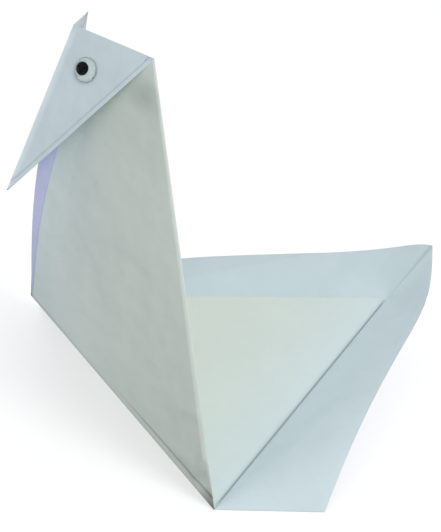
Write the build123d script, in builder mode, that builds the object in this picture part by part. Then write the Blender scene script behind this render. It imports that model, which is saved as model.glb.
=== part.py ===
import os
from math import acos, atan, atan2, cos, degrees, radians, sin, sqrt, tan

from build123d import *

# A swan folded from one square of white paper, in millimetres.
# Two sides of the square are folded in to the diagonal, which makes a kite, and the diagonal is the spine.
# Neck, head and tail are then turned over the outside of the folded body.
sheet_side = 210.0
paper = 0.25
tail_spine = 23.2
ridge = 128.2
foot_edge = 31.0
neck_edge = 125.2
neck_spine = 81.7
beak_spine = 50.4
# The body walls open this far from the upright middle plane, in degrees
wall_spread = 62.7
# Hand-folded paper gives a little: the neck closes, the tail strips sink and their heels bend down
neck_close = 1.5
strip_sink = 20.0
heel_bend = 55.0
# The flat part of a tail strip meets its rim at this share of the way from the tip to the heel
flat_share = 0.35
tail_facets = 5
# The folded-in sides stop short of the spine
flap_gap_low = 0.8
flap_gap_high = 4.5
# The stuck-on eye: a pale back, a loose black pupil and a clear dome
eye_size = 7.0
eye_back_height = 0.5
pupil_size = 3.7
pupil_height = 0.3
pupil_gap = 0.35
dome_height = 1.9
dome_wall = 0.3
eye_along = 0.34
eye_down = 0.20

# The half kite laid flat: the sharp tip at the origin, the spine along X, the folded edge above it
tip_angle = radians(22.5)
spine_length = sqrt(2) * sheet_side
edge_length = sheet_side / cos(tip_angle)
edge_way = Vector(cos(tip_angle), sin(tip_angle))
flat_tail = Vector(spine_length, 0)
flat_root = flat_tail - Vector(tail_spine, 0)
flat_breast = flat_root - Vector(ridge, 0)
flat_crown = flat_breast - Vector(neck_spine, 0)
flat_heel = edge_way * edge_length
flat_foot = edge_way * (edge_length - foot_edge)
flat_nape = edge_way * (edge_length - foot_edge - neck_edge)


def turned(point, start, way, angle):
    """Turn a point about the line through start along way."""
    axis = way.normalized()
    arm = point - start
    along = axis * axis.dot(arm)
    return start + along + (arm - along) * cos(angle) + axis.cross(arm) * sin(angle)


def laid(origin, along, toward, step):
    """Place a flat step on the panel that holds a direction and a second point."""
    run = along.normalized()
    across = toward - origin
    across = (across - run * across.dot(run)).normalized()
    return origin + run * step.X + across * step.Y


# The body: two walls slope down from the ridge. X runs to the tail, Z up, the near side is at negative Y
spread = radians(wall_spread)
downhill = Vector(0, -sin(spread), -cos(spread))


def on_wall(point):
    return Vector(point.X - flat_root.X, 0, 0) + downhill * point.Y


root = on_wall(flat_root)
breast = on_wall(flat_breast)
foot = on_wall(flat_foot)
flap_stop_part = (flat_root.X - sheet_side) / (flat_root.X - flat_foot.X)
flap_stop = root + (foot - root) * flap_stop_part
flap_ridge = on_wall(Vector(sheet_side, flap_gap_low))
flap_breast = on_wall(flat_breast + Vector(2 * flap_gap_low, flap_gap_low))

# The neck: turned up over the outside at the crease from breast to foot
breast_fold = atan2(flat_foot.Y, flat_foot.X - flat_breast.X)
neck_turn = 2 * atan(tan(breast_fold) * cos(spread))
neck_way = Vector(-cos(neck_turn), 0, sin(neck_turn))
stiff_nape = laid(breast, -neck_way, foot, flat_nape - flat_breast)
nape = turned(stiff_nape, breast, foot - breast, -radians(neck_close))
# The crown stays on the middle plane, at its own distances from breast and nape
crease_length = (flat_nape - flat_crown).length
crown_reach = sqrt(crease_length**2 - nape.Y**2)
nape_way = Vector(nape.X - breast.X, 0, nape.Z - breast.Z)
nape_reach = nape_way.length
part_up = (neck_spine**2 - crown_reach**2 + nape_reach**2) / (2 * nape_reach)
part_out = sqrt(max(0, neck_spine**2 - part_up**2))
nape_way = nape_way.normalized()
crown = breast + nape_way * part_up + Vector(-nape_way.Z, 0, nape_way.X) * part_out
flap_low = laid(breast, breast - crown, nape, Vector(0, flap_gap_low))
flap_high = laid(breast, breast - crown, nape, Vector(-neck_spine, flap_gap_high))

# The head: turned down over the outside at the crease from crown to nape
crease = nape - crown
head_angle = atan2(flat_nape.Y, flat_crown.X - flat_nape.X)
swing = acos(crease.length * cos(head_angle) / sqrt(crease.X**2 + crease.Z**2))
head_turn = atan2(crease.Z, crease.X) - swing
beak = crown + Vector(cos(head_turn), 0, sin(head_turn)) * beak_spine

# The tail: turned up at the crease from root to foot. Each strip is flat in a triangle between root, foot
# and a point on the rim, curls as a cone about the root above it, and bends about the foot below it
stiff_turn = 2 * atan(tan(atan2(flat_foot.Y, flat_root.X - flat_foot.X)) * cos(spread))
stiff_way = Vector(cos(stiff_turn), 0, sin(stiff_turn))
flat_mid = flat_tail + (flat_heel - flat_tail) * flat_share
stiff_mid = laid(root, stiff_way, foot, flat_mid - flat_root)
mid = turned(stiff_mid, root, foot - root, -radians(strip_sink))


def curled(centre, start, away, bend, arc):
    """Give the direction reached by a strip that curls about a centre, from start and away from a point."""
    first = (start - centre).normalized()
    onward = first.cross((away - centre).cross(first)).normalized() * -1
    opening = atan2(1, bend)
    axis = first * cos(opening) + first.cross(onward) * sin(opening)
    return turned(first, Vector(0, 0, 0), axis, arc / sin(opening))


def flat_angle(point, centre):
    return atan2(point.Y - centre.Y, point.X - centre.X)


# Halve the interval until the tip of the tail lies on the middle plane
upper_arc = flat_angle(flat_mid, flat_root)
low, high = 0.0, 1.0
for i in range(40):
    curl = (low + high) / 2
    if curled(root, mid, foot, curl, upper_arc).Y < 0:
        low = curl
    else:
        high = curl
upper_rim = []
for i in range(tail_facets + 1):
    flat_point = flat_tail + (flat_mid - flat_tail) * (i / tail_facets)
    arc = upper_arc - flat_angle(flat_point, flat_root)
    upper_rim.append(root + curled(root, mid, foot, curl, arc) * (flat_point - flat_root).length)

# The lower rim runs down to the heel, and the folded-in side ends on the lines to it from the foot
lower_arc = flat_angle(flat_mid, flat_foot) - flat_angle(flat_heel, flat_foot)
lower_curl = radians(heel_bend) / abs(lower_arc)
lower_rim = []
flap_cut = []
for i in range(tail_facets + 1):
    flat_point = flat_mid + (flat_heel - flat_mid) * (i / tail_facets)
    arc = abs(flat_angle(flat_mid, flat_foot) - flat_angle(flat_point, flat_foot))
    reach = curled(foot, mid, root, lower_curl, arc) * (flat_point - flat_foot).length
    lower_rim.append(foot + reach)
    flap_cut.append(foot + reach * ((sheet_side - flat_foot.X) / (flat_point.X - flat_foot.X)))
heel = lower_rim[-1]

# The swan leans back until both ends of its two foot edges touch the floor
lean = degrees(atan2(heel.Z - foot.Z, heel.X - foot.X))


def mirrored(points, far):
    return [Vector(p.X, -p.Y, p.Z) if far else p for p in points]


def panel(points, facing=None):
    """Add a flat stretch of paper, or a second layer on the side of it that faces a given way."""
    normal = (points[1] - points[0]).cross(points[2] - points[0])
    base = Plane(origin=points[0], x_dir=points[1] - points[0], z_dir=normal)
    low = -paper / 2
    if facing:
        low = paper / 2 if base.z_dir.dot(facing) > 0 else -1.5 * paper
    with BuildSketch(base.offset(low)) as outline:
        with BuildLine():
            Polyline(*[base.to_local_coords(p) for p in points], close=True)
        make_face()
    extrude(outline.sketch, amount=paper, dir=base.z_dir)


def fold(start, end):
    """Add the rounded back of a fold."""
    way = end - start
    with BuildSketch(Plane(origin=start, z_dir=way)) as ring:
        Circle(paper * 0.52)
    extrude(ring.sketch, amount=way.length, dir=way)


with BuildPart() as sheet:
    for far in (False, True):
        side = Vector(0, 1 if far else -1, 0)
        r, b, f, n, c, k = mirrored([root, breast, foot, nape, crown, beak], far)
        stop, at_ridge, at_breast = mirrored([flap_stop, flap_ridge, flap_breast], far)
        low_gap, high_gap = mirrored([flap_low, flap_high], far)
        upper = mirrored(upper_rim, far)
        lower = mirrored(lower_rim, far)
        cut = mirrored(flap_cut, far)
        # Body wall, and the folded-in side under it
        panel([b, f, r])
        panel([at_breast, f, stop, at_ridge], Vector(0, 0, -1))
        # Tail strip, with the end of the folded-in side under its heel
        panel([r, lower[0], f])
        panel([stop, cut[0], f], Vector(0, 0, -1))
        for i in range(tail_facets):
            panel([r, upper[i], upper[i + 1]])
            panel([f, lower[i], lower[i + 1]])
            panel([f, cut[i], cut[i + 1]], Vector(0, 0, -1))
            fold(r, upper[i + 1])
            fold(f, lower[i])
        # Neck, with the folded-in side outside
        panel([b, f, n])
        panel([b, n, c])
        panel([low_gap, f, n], side)
        panel([low_gap, n, high_gap], side)
        # Head, with the folded-in side inside
        panel([c, n, k])
        panel([c + (n - c) * 0.05, n, k + (n - k) * 0.03], -side)
        for start, end in ((r, f), (b, f), (b, n), (c, n), (f, n), (n, k), (lower[-1], f)):
            fold(start, end)
    for start, end in ((breast, root), (root, upper_rim[0]), (breast, crown), (crown, beak)):
        fold(start, end)

# A stuck-on eye on the near side of the head, its pupil slipped towards the front
out = (beak - crown).cross(nape - crown).normalized()
out = out if out.Y < 0 else -out
middle = crown + (nape - crown) * eye_along + (beak - crown) * eye_down + out * (paper / 2)
eye = Plane(origin=middle, x_dir=crown - nape, z_dir=out)
with BuildPart() as eye_back:
    with BuildSketch(eye):
        Circle(eye_size / 2)
    extrude(amount=eye_back_height)

# The loose pupil lies against the front of the dome, but for a small gap
pupil_slip = eye_size / 2 - dome_wall - pupil_size / 2 - pupil_gap
with BuildPart() as eye_pupil:
    with BuildSketch(eye.offset(eye_back_height)):
        with Locations((pupil_slip, 0)):
            Circle(pupil_size / 2)
    extrude(amount=pupil_height)

dome_side = Plane(origin=eye.offset(eye_back_height).origin, x_dir=eye.x_dir, z_dir=-eye.y_dir)


def shoulder(radius, height):
    """Give a point half way out on a round cap."""
    ball = (radius**2 + height**2) / (2 * height)
    return radius / 2, sqrt(ball**2 - radius**2 / 4) - ball + height


hollow = eye_size / 2 - dome_wall
hollow_height = dome_height - dome_wall
with BuildPart() as eye_dome:
    with BuildSketch(dome_side):
        with BuildLine():
            ThreePointArc((eye_size / 2, 0), shoulder(eye_size / 2, dome_height), (0, dome_height))
            Line((0, dome_height), (0, hollow_height))
            ThreePointArc((0, hollow_height), shoulder(hollow, hollow_height), (hollow, 0))
            Line((hollow, 0), (eye_size / 2, 0))
        make_face()
    revolve(axis=Axis(dome_side.origin, eye.z_dir))

# Stand the swan on its foot edges, over the middle of its own box
box = sheet.part.rotate(Axis.Y, lean).bounding_box()
drop = Location((-box.center().X, -box.center().Y, -box.min.Z))
nodes = {"sheet": sheet, "eye_back": eye_back, "eye_pupil": eye_pupil, "eye_dome": eye_dome}
os.makedirs("parts", exist_ok=True)
for label, built in nodes.items():
    piece = built.part.rotate(Axis.Y, lean).moved(drop)
    piece.label = label
    export_step(piece, f"parts/{label}.step")
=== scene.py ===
from math import acos, atan, atan2, cos, exp, pi, radians, sin, sqrt, tan

import bmesh
import bpy
from mathutils import Matrix, Vector
from mathutils.geometry import intersect_point_line


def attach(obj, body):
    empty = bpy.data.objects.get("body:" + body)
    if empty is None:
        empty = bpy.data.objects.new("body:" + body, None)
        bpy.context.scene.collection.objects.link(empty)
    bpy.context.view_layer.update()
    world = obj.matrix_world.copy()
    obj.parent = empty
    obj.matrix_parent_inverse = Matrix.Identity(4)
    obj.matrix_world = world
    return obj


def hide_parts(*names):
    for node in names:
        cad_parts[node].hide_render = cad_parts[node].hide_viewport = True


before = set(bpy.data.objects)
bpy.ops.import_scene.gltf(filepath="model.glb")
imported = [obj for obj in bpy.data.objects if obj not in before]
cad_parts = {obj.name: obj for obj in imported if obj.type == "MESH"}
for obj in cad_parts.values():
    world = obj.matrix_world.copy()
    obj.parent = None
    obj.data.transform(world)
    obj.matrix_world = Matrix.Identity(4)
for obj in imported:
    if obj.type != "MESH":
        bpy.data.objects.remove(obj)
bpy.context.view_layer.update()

# The sheet: one square of white paper. Two sides are folded in to the diagonal, which makes a kite, and the
# diagonal becomes the swan's spine. Its two halves mirror each other, and the near half is laid flat first,
# with the sharp tip at the origin and the spine along X.
sheet_side = 0.210
tail_spine = 0.0232
ridge = 0.1282
neck_spine = 0.0817
beak_spine = 0.0504
foot_edge = 0.0310
neck_edge = 0.1252
tip_angle = radians(22.5)
edge_length = sheet_side / cos(tip_angle)
edge_way = Vector((cos(tip_angle), sin(tip_angle), 0))
flat_tail = Vector((sqrt(2) * sheet_side, 0, 0))
flat_root = flat_tail - Vector((tail_spine, 0, 0))
flat_breast = flat_root - Vector((ridge, 0, 0))
flat_crown = flat_breast - Vector((neck_spine, 0, 0))
flat_heel = edge_way * edge_length
flat_foot = edge_way * (edge_length - foot_edge)
flat_nape = edge_way * (edge_length - foot_edge - neck_edge)

# The body: two walls slope down from the ridge between breast and root, like a roof.
# The folded-in sides lie under them and stop just short of the ridge.
spread = radians(62.7)
ridge_gap = 0.0008
downhill = Vector((0, -sin(spread), -cos(spread)))
root = Vector((0, 0, 0))
breast = flat_breast - flat_root
foot = Vector((flat_foot.x - flat_root.x, 0, 0)) + downhill * flat_foot.y
wall_out = (foot - breast).cross(root - breast).normalized()
flap_stop = root.lerp(foot, (flat_root.x - sheet_side) / (flat_root.x - flat_foot.x))
flap_ridge = Vector((sheet_side - flat_root.x, 0, 0)) + downhill * ridge_gap
flap_low = breast.lerp(foot, ridge_gap / flat_foot.y)

# The neck: turned up over the outside at the crease from breast to foot, and closed a little by hand.
# Its folded-in sides lie outside and stop short of the spine, the more so towards the crown.
neck_close = radians(1.5)
crown_gap = 0.0050


def turned(point, start, way, angle):
    """Turn a point about the line through start along way."""
    return start + Matrix.Rotation(angle, 3, way.normalized()) @ (point - start)


def laid(origin, along, toward, step):
    """Place a flat step on the panel that holds a direction and a second point."""
    run = along.normalized()
    across = toward - origin
    across = (across - run * across.dot(run)).normalized()
    return origin + run * step.x + across * step.y


breast_fold = atan2(flat_foot.y, flat_foot.x - flat_breast.x)
neck_turn = 2 * atan(tan(breast_fold) * cos(spread))
neck_way = Vector((-cos(neck_turn), 0, sin(neck_turn)))
nape = laid(breast, -neck_way, foot, flat_nape - flat_breast)
nape = turned(nape, breast, foot - breast, -neck_close)
crown_reach = sqrt((flat_nape - flat_crown).length_squared - nape.y**2)
nape_way = Vector((nape.x - breast.x, 0, nape.z - breast.z))
part_up = (neck_spine**2 - crown_reach**2 + nape_way.length_squared) / (2 * nape_way.length)
part_out = sqrt(neck_spine**2 - part_up**2)
nape_way.normalize()
crown = breast + nape_way * part_up + Vector((-nape_way.z, 0, nape_way.x)) * part_out
flap_high = crown.lerp(nape, crown_gap / flat_nape.y)
neck_out = (foot - breast).cross(nape - breast).normalized()
neck_front = Vector((breast.z - crown.z, 0, crown.x - breast.x)).normalized()

# The head: turned down over the outside at the crease from crown to nape.
# Here the folded-in sides lie inside.
crease = nape - crown
head_angle = atan2(flat_nape.y, flat_crown.x - flat_nape.x)
swing = acos(crease.length * cos(head_angle) / Vector((crease.x, crease.z)).length)
head_turn = atan2(crease.z, crease.x) - swing
beak = crown + Vector((cos(head_turn), 0, sin(head_turn))) * beak_spine
head_out = (beak - crown).cross(crease).normalized()

# The tail: turned up over the outside at the crease from root to foot, and opened by hand. Each strip is flat
# between root, foot and a point on its rim, curls as a cone about the root above that, and bends about the
# foot down to the heel.
strip_sink = radians(20.0)
heel_bend = radians(55.0)
flat_share = 0.35
rim_steps = 24
stiff_turn = 2 * atan(tan(atan2(flat_foot.y, flat_root.x - flat_foot.x)) * cos(spread))
stiff_way = Vector((cos(stiff_turn), 0, sin(stiff_turn)))
flat_mid = flat_tail.lerp(flat_heel, flat_share)
mid = turned(laid(root, stiff_way, foot, flat_mid - flat_root), root, foot - root, -strip_sink)


def curled(centre, away, bend, arc):
    """Give the direction reached by a strip that curls about a centre, on from the flat part."""
    first = (mid - centre).normalized()
    onward = -first.cross((away - centre).cross(first)).normalized()
    opening = atan2(1, bend)
    axis = first * cos(opening) + first.cross(onward) * sin(opening)
    return turned(first, Vector(), axis, arc / sin(opening))


def flat_angle(point, centre):
    return atan2(point.y - centre.y, point.x - centre.x)


# The interval of the curl is halved until the tip of the tail lies on the middle plane.
upper_arc = flat_angle(flat_mid, flat_root)
low, high = 0.0, 1.0
for i in range(40):
    curl = (low + high) / 2
    if curled(root, foot, curl, upper_arc).y < 0:
        low = curl
    else:
        high = curl
lower_arc = abs(flat_angle(flat_mid, flat_foot) - flat_angle(flat_heel, flat_foot))
upper_rim, lower_rim, flap_cut = [], [], []
for i in range(rim_steps + 1):
    flat_point = flat_mid.lerp(flat_tail, i / rim_steps)
    arc = upper_arc - flat_angle(flat_point, flat_root)
    upper_rim.append(root + curled(root, foot, curl, arc) * (flat_point - flat_root).length)
    flat_point = flat_mid.lerp(flat_heel, i / rim_steps)
    arc = abs(flat_angle(flat_mid, flat_foot) - flat_angle(flat_point, flat_foot))
    reach = curled(foot, root, heel_bend / lower_arc, arc) * (flat_point - flat_foot).length
    lower_rim.append(foot + reach)
    flap_cut.append(foot + reach * ((sheet_side - flat_foot.x) / (flat_point.x - flat_foot.x)))
heel = lower_rim[-1]

# The near half as one mesh, panel by panel, with the white side of the paper turned the way it lies.
# Rows of points close up towards the creases, which are greyed with painted shade, and each point
# notes its colour between body and ends, its painted shade or painted highlight, and how much it is slack.
layer = 0.00025
round_back = 0.0001
layers_part = 0.004
marks = [i / 12 for i in range(10)] + [0.79, 0.83, 0.86, 0.89, 0.915, 0.935, 0.95, 0.965, 0.98, 0.99, 1.0]
last = len(marks) - 1
# Painted shade along a panel's crease: full on the last row, faint on the row before.
painted_crease_shade = {last: 1.0, last - 1: 0.15}
up = Vector((0, 0, 1))
bm = bmesh.new()
give = bm.verts.layers.deform.verify()
tone = bm.verts.layers.float.new("tone")
painted_light_and_shade = bm.verts.layers.float.new("painted_light_and_shade")
raised = bm.verts.layers.float.new("raised")
folded = bm.faces.layers.int.new("folded")


def spot(point, ends=0.0, light_and_shade=0.0, slack=0.0):
    """Add a point of the paper."""
    vert = bm.verts.new(point)
    vert[tone] = ends
    vert[painted_light_and_shade] = light_and_shade
    vert[give][0] = slack
    return vert


def paper_face(corners, white, is_fold=0):
    """Add a face of the paper with its white side towards a given way."""
    face = bm.faces.new(corners)
    face[folded] = is_fold
    face.normal_update()
    if face.normal.dot(white) < 0:
        face.normal_flip()


def skin(rows, white, is_fold=0):
    """Close the paper between rows of points."""
    for one, two in zip(rows, rows[1:]):
        for k in range(len(one) - 1):
            paper_face((one[k], one[k + 1], two[k + 1], two[k]), white, is_fold)


def slack_in(point, a, b, c):
    """Give how freely the paper waves at a point of a panel: most in the middle, none at the creases."""
    whole = (b - a).cross(c - a).length
    shares = [(q - point).cross(r - point).length / whole for q, r in ((a, b), (b, c), (c, a))]
    return 27 * shares[0] * shares[1] * shares[2]


def triangle(a, b, c, white, panel, lift=Vector(), ends=0.0, shaded_creases=0.0):
    """Add a three-cornered panel in rows from its first corner, and give its rows."""
    rows = []
    for i, mark in enumerate(marks):
        row = []
        for j in range(i + 1):
            point = a.lerp(b, mark) + (c - b) * (mark * j / max(i, 1))
            slack = slack_in(point, *panel) if panel else 0.0
            ease = min(1, (point - b).length / layers_part)
            light_and_shade = painted_crease_shade.get(i, 0.0) * shaded_creases
            row.append(spot(point + lift * ease, ends * mark**4 if ends < 1 else 1.0, light_and_shade, slack))
        rows.append(row)
    for i in range(last):
        for j in range(i + 1):
            paper_face((rows[i][j], rows[i + 1][j], rows[i + 1][j + 1]), white)
            if j < i:
                paper_face((rows[i][j], rows[i + 1][j + 1], rows[i][j + 1]), white)
    return rows


def fan(centre, rim, white, lift=0.0):
    """Add a panel that curls about its centre, as spokes in from its rim, and give the spokes."""
    spokes = []
    for k, end in enumerate(rim):
        before, after = rim[max(k - 1, 0)], rim[min(k + 1, len(rim) - 1)]
        away = (after - centre).cross(before - centre).normalized()
        away *= lift if away.dot(white) > 0 else -lift
        spokes.append([])
        for mark in marks:
            ease = min(1, (end - centre).length * (1 - mark) / layers_part)
            spokes[-1].append(spot(end.lerp(centre, mark) + away * ease, 1.0))
    skin(spokes, white)
    return spokes


def join(edge, other, out, bulge=0.0):
    """Carry the paper round a fold, from the edge of one layer to the edge of the next."""
    between = [edge, other]
    if bulge:
        round_edge = []
        for p, q in zip(edge, other):
            ease = min(1, (p.co - q.co).length / 0.0002)
            round_edge.append(spot((p.co + q.co) / 2 + out * (bulge * ease), p[tone]))
        between = [edge, round_edge, other]
    skin(between, out, 1)


body_panel = (breast, foot, root)
triangle(breast, foot, root, up, body_panel, ends=0.8, shaded_creases=1.0)
wall_flap = triangle(flap_low, foot, flap_ridge, -up, body_panel, -wall_out * layer)
stop_flap = triangle(flap_stop, foot, flap_ridge, -up, body_panel, -wall_out * layer)
strip = triangle(mid, root, foot, up, None, ends=1.0, shaded_creases=1.0)
tip_fan = fan(root, upper_rim, up)
heel_fan = fan(foot, lower_rim, up)
stop_steps = 6
stop_line = [flap_stop.lerp(flap_cut[0], i / stop_steps) for i in range(stop_steps)]
heel_flap = fan(foot, stop_line + flap_cut, -up, layer)
# Painted shade along the tail's spine crease.
for vert in tip_fan[-1]:
    vert[painted_light_and_shade] = 0.3
join(heel_fan[-1], heel_flap[-1], (heel - root).normalized(), round_back)
join([row[0] for row in stop_flap], heel_flap[0], -up)

# The far strip is folded flatter than the near one, so its rim is straighter.
# It stands higher along the rim, and is level with the near one at its tip, its heel and its crease.
far_rise = 0.067
far_fade = 4.64


def raise_rim(row, rim_share, part=1.0):
    """Note how far a spoke of the far strip stands above the near one."""
    at_rim = far_rise * rim_share * (1 - rim_share) * exp(-far_fade * rim_share)
    for vert, mark in zip(row, marks):
        vert[raised] = at_rim * part * (1 - mark)


for mark, row in zip(marks, strip):
    for vert in row:
        raise_rim([vert], flat_share, 1 - mark)
for i in range(rim_steps + 1):
    lower_share = flat_share + (1 - flat_share) * i / rim_steps
    raise_rim(tip_fan[i], flat_share * (1 - i / rim_steps))
    raise_rim(heel_fan[i], lower_share)
    part = (flap_cut[i] - foot).length / (lower_rim[i] - foot).length
    raise_rim(heel_flap[i + stop_steps], lower_share, part)
for i in range(stop_steps):
    part = i / stop_steps * (flap_cut[0] - foot).length / (mid - foot).length
    raise_rim(heel_flap[i], flat_share, part)

# The neck's two layers are laid in rows from the breast crease up to the head. The front swells out, and the
# outer layer has a pressed line above the crease with painted shade, crumples with painted shade, painted
# shade at the foot and the breast edge, a painted shadow under the head at the nape and a painted highlight
# at its rim.
neck_swell = 0.0042
swell_share = 0.2
low_rows = [0, 0.3, 0.75, 1, 1.25]
pressed_row = 3
heights = [i / 80 for i in range(3, 25)] + [i / 40 for i in range(13, 41)]
line_dip = 0.00004
crumple_width = 0.002
crumple_height = 0.0004


def on_neck(mark, height):
    """Give a point of the outer layer on the neck, by its shares across from the raw edge and up."""
    return flap_low.lerp(flap_high, height).lerp(foot.lerp(nape, height), mark)


def near_to(point, other, reach):
    """Give 1 at another point, falling to 0 at a reach from it."""
    return max(0, 1 - (point - other).length / reach)


crumples = [
    (on_neck(0.99, 0.205), on_neck(0.89, 0.172), 0.7),
    (on_neck(0.885, 0.053), on_neck(0.815, 0.033), 0.8),
    (on_neck(0.99, 0.082), on_neck(0.90, 0.030), 1.2),
    (on_neck(0.98, 0.125), on_neck(0.94, 0.075), 0.6),
]
# A painted shadow under the head's lower edge, near the nape.
nape_shadow = (on_neck(0.97, 0.950), on_neck(0.66, 0.855))


def neck_light_and_shade(point, mark, height, line):
    """Give the painted shade and painted highlight of the outer layer at a point of the neck."""
    # Painted shade along the pressed line, in the corner at the foot and, fainter and wider, towards the
    # foot.
    light_and_shade = 0.55 * line + near_to(point, foot, 0.007) + 0.18 * near_to(point, foot, 0.060)
    # Painted shadow under the head at the nape.
    on_nape_shadow, along = intersect_point_line(point, *nape_shadow)
    if 0 <= along <= 1:
        light_and_shade += 0.45 * sin(pi * along) * near_to(point, on_nape_shadow, 0.009)
    # Painted highlight along the neck's rim at the spine fold.
    if mark > 0.97 and height > 0.1:
        light_and_shade -= 0.3
    # Painted shade along the breast edge, where it curls under.
    if height < 0.01:
        light_and_shade += 0.3 * max(0, 1 - mark / 0.6)
    return light_and_shade


neck, neck_flap = [], []
for row in range(len(low_rows) + len(heights)):
    neck.append([])
    neck_flap.append([])
    for mark in marks:
        if row < len(low_rows):
            height = low_rows[row] * (0.010 + 0.018 * mark)
        else:
            height = heights[row - len(low_rows)]
        left, right = breast.lerp(crown, height), foot.lerp(nape, height)
        swell = neck_front * (neck_swell * sin(pi * height))
        slack = 16 * mark * (1 - mark) * height * (1 - height)
        front = swell * max(0, 1 - mark / swell_share) ** 2
        neck[-1].append(spot(left.lerp(right, mark) + front, float(height == 1), 0.0, slack))
        raw = flap_low.lerp(flap_high, height)
        bare = (raw - left).length / (right - left).length
        share = bare + (1 - bare) * mark
        slack = 16 * share * (1 - share) * height * (1 - height)
        front = swell * max(0, 1 - share / swell_share) ** 2
        # Under the head the outer layer closes on the inner one and is tucked down clear of the crease
        below_head = min(1, (1 - height) * 12)
        tuck = min(1, max(0, 0.95 - mark) * 5) * (1 - below_head) * (breast - crown) * 0.03
        point = raw.lerp(right, mark) + front + tuck + neck_out * (layer * below_head)
        line = min(1, max(0, (mark - 0.45) * 5)) if row == pressed_row else 0.0
        light_and_shade = neck_light_and_shade(point, mark, height, line)
        point -= neck_out * (line_dip * line)
        for start, end, strength in crumples:
            along = intersect_point_line(point, start, end)[1]
            on_crumple = start.lerp(end, min(1, max(0, along)))
            rise = strength * near_to(point, on_crumple, crumple_width)
            point += neck_out * (crumple_height * rise)
            # Painted shade on each crumple, over its raised ridge.
            light_and_shade += 0.15 * rise
        neck_flap[-1].append(spot(point, 0.6 * (1 - mark) ** 3, light_and_shade, slack))
skin(neck, -neck_out)
skin(neck_flap, neck_out)
join([row[-1] for row in neck], [row[-1] for row in neck_flap], crease.normalized(), round_back)
join(neck_flap[0], [row[0] for row in wall_flap], -up)

# The head's outer layer has a pressed line along its lower edge, sunk a little and darkened with painted
# shade, and a painted highlight along the rim at its front.
# The folded-in side lies behind it and stops short of the spine.
head_panel = (crown, nape, beak)
head = triangle(crown, nape, beak, head_out, head_panel, ends=1.0)
# The pressed line: sunk a little, with painted shade.
for vert in head[marks.index(0.95)]:
    vert.co -= head_out * 0.0002
    vert[painted_light_and_shade] = 0.35
# Painted highlight along the head's front rim.
for row in head:
    row[-1][painted_light_and_shade] = -0.35
head_raw = flap_high.lerp(beak, 0.06)
head_flap = triangle(head_raw, nape, beak.lerp(nape, 0.03), -head_out, head_panel, -head_out * layer, 1.0)
join(head[-1], head_flap[-1], crease.normalized(), round_back)

# The far half mirrors the near one, apart from its raised strip. The whole sheet then leans back onto its
# foot edges, over the middle of its box, and creases stay sharp while slack panels wave a little.
sharp_crease = radians(18)
bmesh.ops.remove_doubles(bm, verts=bm.verts, dist=1e-6)
bmesh.ops.mirror(bm, geom=bm.verts[:] + bm.edges[:] + bm.faces[:], axis="Y", merge_dist=1e-6)
for face in bm.faces:
    face.smooth = True
    if face.calc_center_median().y > 0:
        face.normal_flip()
for vert in bm.verts:
    if vert.co.y > 0:
        vert.co.z += vert[raised]
bm.verts.layers.float.remove(raised)
for edge in bm.edges:
    sides = edge.link_faces
    if len(sides) == 2 and not (sides[0][folded] or sides[1][folded]):
        edge.smooth = edge.calc_face_angle() < sharp_crease
lean = atan2(heel.z - foot.z, heel.x - foot.x)
bmesh.ops.rotate(bm, verts=bm.verts, cent=root, matrix=Matrix.Rotation(lean, 3, "Y"))
xs = [v.co.x for v in bm.verts]
zs = [v.co.z for v in bm.verts]
paper_thickness = 0.0002
shift = Vector((-(min(xs) + max(xs)) / 2, 0, paper_thickness / 2 - min(zs)))
bmesh.ops.translate(bm, verts=bm.verts, vec=shift)
paper_mesh = bpy.data.meshes.new("paper_sheet")
bm.to_mesh(paper_mesh)
bm.free()
sheet = bpy.data.objects.new("paper_sheet", paper_mesh)
sheet.vertex_groups.new(name="give")
bpy.context.scene.collection.objects.link(sheet)
for axis, size in (("Y", 0.0016), ("Z", 0.0008)):
    texture = bpy.data.textures.new(f"slack_{axis}", "CLOUDS")
    texture.noise_scale = 0.035
    slack = sheet.modifiers.new(f"slack_{axis}", "DISPLACE")
    slack.texture = texture
    slack.texture_coords = "LOCAL"
    slack.direction = axis
    slack.strength = size
    slack.vertex_group = "give"
thick = sheet.modifiers.new("thickness", "SOLIDIFY")
thick.thickness = paper_thickness
thick.offset = 0
thick.material_offset = 1
even = sheet.modifiers.new("even_shading", "WEIGHTED_NORMAL")
even.keep_sharp = True
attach(sheet, "root")
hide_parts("sheet")

# The paper is matt white on one side and pale lavender on the other, which shows beside the neck's spine.
# Faint fibres, cockles and clouding run through it, and the painted shade and painted highlight noted at its
# points darken or lighten it.
white_body = (0.80, 0.875, 0.80, 1.0)
white_ends = (0.79, 0.92, 0.96, 1.0)
lavender = (0.68, 0.72, 1.0, 1.0)


def new_group(name, inputs, outputs):
    """Start a node group, and give it with its input, output and place nodes."""
    group = bpy.data.node_groups.new(name, "ShaderNodeTree")
    for way, sockets in (("INPUT", inputs), ("OUTPUT", outputs)):
        for socket, kind in sockets.items():
            group.interface.new_socket(socket, in_out=way, socket_type=f"NodeSocket{kind}")
    kinds = ("NodeGroupInput", "NodeGroupOutput", "ShaderNodeTexCoord")
    return group, *[group.nodes.new(kind) for kind in kinds]


def noise(group, place, scale, detail):
    """Add a noise that is fixed to the piece."""
    cloud = group.nodes.new("ShaderNodeTexNoise")
    cloud.inputs["Scale"].default_value = scale
    cloud.inputs["Detail"].default_value = detail
    group.links.new(place.outputs["Object"], cloud.inputs["Vector"])
    return cloud.outputs["Fac"]


def ranged(group, value, low, high, to_low, to_high):
    """Spread a value over another range."""
    level = group.nodes.new("ShaderNodeMapRange")
    level.inputs["From Min"].default_value = low
    level.inputs["From Max"].default_value = high
    level.inputs["To Min"].default_value = to_low
    level.inputs["To Max"].default_value = to_high
    group.links.new(value, level.inputs["Value"])
    return level.outputs["Result"]


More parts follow.
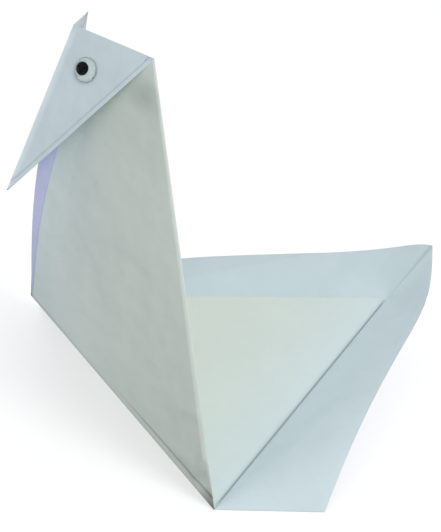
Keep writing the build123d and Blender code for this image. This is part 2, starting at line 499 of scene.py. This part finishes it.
def sum_of(group, operation, *terms):
    """Add a sum of two or three terms, each a socket or a number."""
    node = group.nodes.new("ShaderNodeMath")
    node.operation = operation
    for socket, term in zip(node.inputs, terms):
        if isinstance(term, float):
            socket.default_value = term
        else:
            group.links.new(term, socket)
    return node.outputs["Value"]


def mixed(group, blend, share, first, second):
    """Mix two colours, by a socket or a number."""
    mix = group.nodes.new("ShaderNodeMix")
    mix.data_type = "RGBA"
    mix.blend_type = blend
    if isinstance(share, float):
        mix.inputs["Factor"].default_value = share
    else:
        group.links.new(share, mix.inputs["Factor"])
    group.links.new(first, mix.inputs["A"])
    group.links.new(second, mix.inputs["B"])
    return mix.outputs["Result"]


def bumped(group, height, strength, distance, under=None):
    """Add a relief, over another one if given."""
    bump = group.nodes.new("ShaderNodeBump")
    bump.inputs["Strength"].default_value = strength
    bump.inputs["Distance"].default_value = distance
    group.links.new(height, bump.inputs["Height"])
    if under:
        group.links.new(under, bump.inputs["Normal"])
    return bump.outputs["Normal"]


def noted(group, name):
    """Read what the points of the paper note under a name."""
    note = group.nodes.new("ShaderNodeAttribute")
    note.attribute_name = name
    return note.outputs["Fac"]


def finished(name, group, values, joined):
    """Make a material from a group, with its own values and with the group's outputs joined to the shader."""
    material = bpy.data.materials.new(name)
    material.use_nodes = True
    tree = material.node_tree
    shader = tree.nodes["Principled BSDF"]
    look = tree.nodes.new("ShaderNodeGroup")
    look.node_tree = group
    for socket, value in values.items():
        look.inputs[socket].default_value = value
    for output, socket in joined.items():
        tree.links.new(look.outputs[output], shader.inputs[socket])
    return material, tree, shader


surface, given, result, place = new_group(
    "paper_surface", {"Body": "Color", "Ends": "Color"}, {"Color": "Color", "Normal": "Vector"}
)
paper_colour = mixed(surface, "MIX", noted(surface, "tone"), given.outputs["Body"], given.outputs["Ends"])
clouding = ranged(surface, noise(surface, place, 45, 6), 0.3, 0.7, 0.97, 1.0)
# Painted shade and painted highlight, from what each point of the paper notes.
painted_light_level = sum_of(surface, "MULTIPLY_ADD", noted(surface, "painted_light_and_shade"), -0.65, 1.0)
shade = sum_of(surface, "MULTIPLY", clouding, painted_light_level)
surface.links.new(mixed(surface, "MULTIPLY", 1.0, paper_colour, shade), result.inputs["Color"])
cockles = bumped(surface, noise(surface, place, 38, 3), 0.7, 0.003)
fibres = bumped(surface, noise(surface, place, 900, 4), 0.08, 0.0005, cockles)
surface.links.new(fibres, result.inputs["Normal"])
for name, body, ends in (("paper_white", white_body, white_ends), ("paper_back", lavender, lavender)):
    values = {"Body": body, "Ends": ends}
    paper, tree, shader = finished(name, surface, values, {"Color": "Base Color", "Normal": "Normal"})
    shader.inputs["Roughness"].default_value = 0.8
    shader.inputs["Specular IOR Level"].default_value = 0.25
    sheet.data.materials.append(paper)

# The eye: a stuck-on craft eye with a pale back, a loose black pupil and a clear dome over both.
# All three are moulded plastic with fine specks and rubs, and the dome lets light through to the back.
moulded, given, result, place = new_group(
    "moulded_plastic",
    {"Tint": "Color", "Gloss": "Float"},
    {"Color": "Color", "Roughness": "Float", "Normal": "Vector"},
)
specks = noise(moulded, place, 1400, 5)
shade = ranged(moulded, specks, 0.0, 1.0, 0.9, 1.06)
moulded.links.new(mixed(moulded, "MULTIPLY", 1.0, given.outputs["Tint"], shade), result.inputs["Color"])
moulded.links.new(sum_of(moulded, "MULTIPLY", given.outputs["Gloss"], shade), result.inputs["Roughness"])
moulded.links.new(bumped(moulded, specks, 0.05, 0.0001), result.inputs["Normal"])
for node, tint, gloss in (
    ("eye_back", (0.46, 0.52, 0.535, 1.0), 0.5),
    ("eye_pupil", (0.003, 0.004, 0.005, 1.0), 0.8),
    ("eye_dome", (0.97, 0.99, 0.99, 1.0), 0.08),
):
    joined = {"Color": "Base Color", "Roughness": "Roughness"}
    if node != "eye_dome":
        joined["Normal"] = "Normal"
    plastic, tree, shader = finished(node, moulded, {"Tint": tint, "Gloss": gloss}, joined)
    shader.inputs["Specular IOR Level"].default_value = 0.1
    if node == "eye_dome":
        shader.inputs["Transmission Weight"].default_value = 1.0
        shader.inputs["IOR"].default_value = 1.08
        path = tree.nodes.new("ShaderNodeLightPath")
        through = tree.nodes.new("ShaderNodeBsdfTransparent")
        mix = tree.nodes.new("ShaderNodeMixShader")
        tree.links.new(path.outputs["Is Shadow Ray"], mix.inputs["Fac"])
        tree.links.new(shader.outputs["BSDF"], mix.inputs[1])
        tree.links.new(through.outputs["BSDF"], mix.inputs[2])
        tree.links.new(mix.outputs["Shader"], tree.nodes["Material Output"].inputs["Surface"])
    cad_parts[node].data.materials.clear()
    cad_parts[node].data.materials.append(plastic)

# The floor: a plain pale sheet that keeps the swan's shadow.
# The camera, and what is mirrored or seen through the dome, has it as white.
floor_mesh = bpy.data.meshes.new("floor")
bm = bmesh.new()
bmesh.ops.create_grid(bm, x_segments=1, y_segments=1, size=4.0)
bm.to_mesh(floor_mesh)
bm.free()
floor = bpy.data.objects.new("floor", floor_mesh)
bpy.context.scene.collection.objects.link(floor)
pale = bpy.data.materials.new("floor")
pale.use_nodes = True
tree = pale.node_tree
shader = tree.nodes["Principled BSDF"]
shader.inputs["Base Color"].default_value = (0.6, 0.6, 0.6, 1.0)
shader.inputs["Roughness"].default_value = 0.9
shader.inputs["Emission Color"].default_value = (1.0, 1.0, 1.0, 1.0)


def seen_directly(tree):
    """Give 1 for what the camera sees, straight or by way of a gloss or a clear piece, and 0 for light."""
    path = tree.nodes.new("ShaderNodeLightPath")
    mirrored = sum_of(tree, "ADD", path.outputs["Is Camera Ray"], path.outputs["Is Glossy Ray"])
    direct = sum_of(tree, "ADD", mirrored, path.outputs["Is Transmission Ray"])
    direct.node.use_clamp = True
    return direct


tree.links.new(sum_of(tree, "MULTIPLY", seen_directly(tree), 0.62), shader.inputs["Emission Strength"])
floor.data.materials.append(pale)

# The light: a soft panel on the near side, a little warm, in a grey-white surround that is a little cool.
# The camera, and what is mirrored or seen through the dome, has the surround as white.
glow = bpy.data.lights.new("panel", "AREA")
glow.size = 0.8
glow.energy = 4.8
glow.color = (1.0, 1.0, 0.90)
lamp = bpy.data.objects.new("panel", glow)
lamp.location = (0.15, -0.95, 0.80)
lamp.rotation_euler = (lamp.location - Vector((0, 0, 0.05))).to_track_quat("Z", "Y").to_euler()
bpy.context.scene.collection.objects.link(lamp)
world = bpy.data.worlds.new("studio")
bpy.context.scene.world = world
world.use_nodes = True
tree = world.node_tree
surround = tree.nodes.new("ShaderNodeMix")
surround.data_type = "RGBA"
surround.inputs["A"].default_value = (0.52, 0.53, 0.565, 1.0)
surround.inputs["B"].default_value = (1.0, 1.0, 1.0, 1.0)
tree.links.new(seen_directly(tree), surround.inputs["Factor"])
tree.links.new(surround.outputs["Result"], tree.nodes["Background"].inputs["Color"])
bpy.context.scene.view_settings.view_transform = "Standard"

# The camera: a long lens that looks down at the swan from the near quarter of the head end.
# It is held with a slight roll.
azimuth = radians(-28.60)
elevation = radians(24.81)
roll = radians(4.26)
distance = 0.4995
aim = Vector((0.00345, 0.01519, 0.03242))
back = Vector((sin(azimuth) * cos(elevation), -cos(azimuth) * cos(elevation), sin(elevation)))
lens = bpy.data.cameras.new("camera")
lens.lens = 104.6
camera = bpy.data.objects.new("camera", lens)
camera.location = aim + back * distance
level_view = back.to_track_quat("Z", "Y").to_matrix()
camera.rotation_euler = (level_view @ Matrix.Rotation(roll, 3, "Z")).to_euler()
bpy.context.scene.collection.objects.link(camera)
bpy.context.scene.camera = camera
